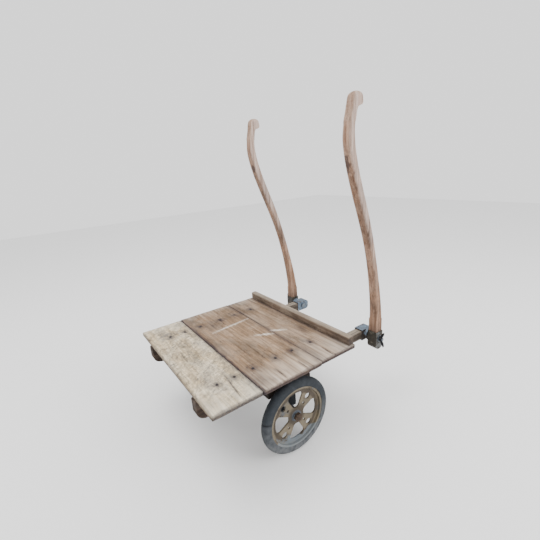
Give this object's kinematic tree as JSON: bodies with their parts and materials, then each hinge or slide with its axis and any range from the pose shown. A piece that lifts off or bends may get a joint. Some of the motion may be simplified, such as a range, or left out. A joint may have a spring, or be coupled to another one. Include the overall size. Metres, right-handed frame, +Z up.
{
  "type": "hand truck",
  "caption": "Low platform truck on solid-tyred spoked wheels, with a boarded timber deck, a rear stop rail and folding curved timber handles clamped by wing nuts.",
  "frame": {"origin": "on the floor, in the middle of the truck's length and width", "axes": "+Z up, +X along the axle to the truck's right side as seen from its nose looking back, +Y from the nose of the deck back to the handles"},
  "size_m": [0.588, 0.718, 1.0359],
  "materials": {
    "deck_weathered": "weathered bare timber",
    "deck_brown": "weathered bare timber",
    "cleat_wood": "weathered bare timber",
    "nail_iron": "rusted",
    "screw_steel": "dull",
    "cap_galvanised": "worn galvanised",
    "rail_wood": "dark aged timber",
    "bolster_wood": "dark aged timber",
    "hanger_steel": "worn dark paint",
    "axle_steel": "dull",
    "rusty_fastener": "rusted",
    "wheel_paint": "worn khaki paint",
    "tyre_rubber": "worn rubber",
    "disc_iron": "dark, greasy",
    "pivot_steel": "dull",
    "wing_nut_black": "black",
    "handle_ash": "worn bare ash",
    "shoe_steel": "dark, worn"
  },
  "bodies": {
    "truck": {"axle": "axle_steel", "axle_nut_left": "rusty_fastener", "axle_nut_right": "rusty_fastener", "axle_spacer_left": "axle_steel", "axle_spacer_right": "axle_steel", "axle_washer_left": "axle_steel", "axle_washer_right": "axle_steel", "board_front": "deck_weathered", "board_middle": "deck_brown", "board_rear": "deck_brown", "bolster": "bolster_wood", "cleat": "cleat_wood", "cleat_screws": "screw_steel", "deck_nails": "nail_iron", "hanger_left": "hanger_steel", "hanger_right": "hanger_steel", "hanger_screws": "screw_steel", "hinge_boss_left": "cap_galvanised", "hinge_boss_right": "cap_galvanised", "pivot_bolt_left": "pivot_steel", "pivot_bolt_right": "pivot_steel", "rail_cap_left": "cap_galvanised", "rail_cap_right": "cap_galvanised", "rail_left": "rail_wood", "rail_right": "rail_wood"},
    "wheel_left": {"wheel_left": "wheel_paint", "wheel_bush_left": "axle_steel", "tyre_left": "tyre_rubber"},
    "handle_left": {"handle_left": "handle_ash", "shoe_left": "shoe_steel", "friction_disc_left": "disc_iron", "pivot_washer_left": "pivot_steel"},
    "wing_nut_left": {"wing_nut_left": "wing_nut_black"},
    "wheel_right": {"wheel_right": "wheel_paint", "wheel_bush_right": "axle_steel", "tyre_right": "tyre_rubber"},
    "handle_right": {"handle_right": "handle_ash", "shoe_right": "shoe_steel", "friction_disc_right": "disc_iron", "pivot_washer_right": "pivot_steel"},
    "wing_nut_right": {"wing_nut_right": "wing_nut_black"}
  },
  "joints": [
    {"name": "wheel_left_spin", "type": "hinge", "parent": "truck", "child": "wheel_left", "pos_m": [-0.257, -0.076, 0.125], "axis": [1, 0, 0], "continuous": true},
    {"name": "wheel_right_spin", "type": "hinge", "parent": "truck", "child": "wheel_right", "pos_m": [0.257, -0.076, 0.125], "axis": [1, 0, 0], "continuous": true},
    {"name": "handle_left_fold", "type": "hinge", "parent": "truck", "child": "handle_left", "pos_m": [-0.236, 0.327, 0.235], "axis": [1, 0, 0], "range_deg": [-100, 50]},
    {"name": "handle_right_fold", "type": "hinge", "parent": "truck", "child": "handle_right", "pos_m": [0.236, 0.327, 0.235], "axis": [1, 0, 0], "range_deg": [-100, 50]},
    {"name": "wing_nut_left_turn", "type": "hinge", "parent": "truck", "child": "wing_nut_left", "pos_m": [-0.263, 0.327, 0.235], "axis": [1, 0, 0], "continuous": true},
    {"name": "wing_nut_right_turn", "type": "hinge", "parent": "truck", "child": "wing_nut_right", "pos_m": [0.263, 0.327, 0.235], "axis": [1, 0, 0], "continuous": true}
  ]
}
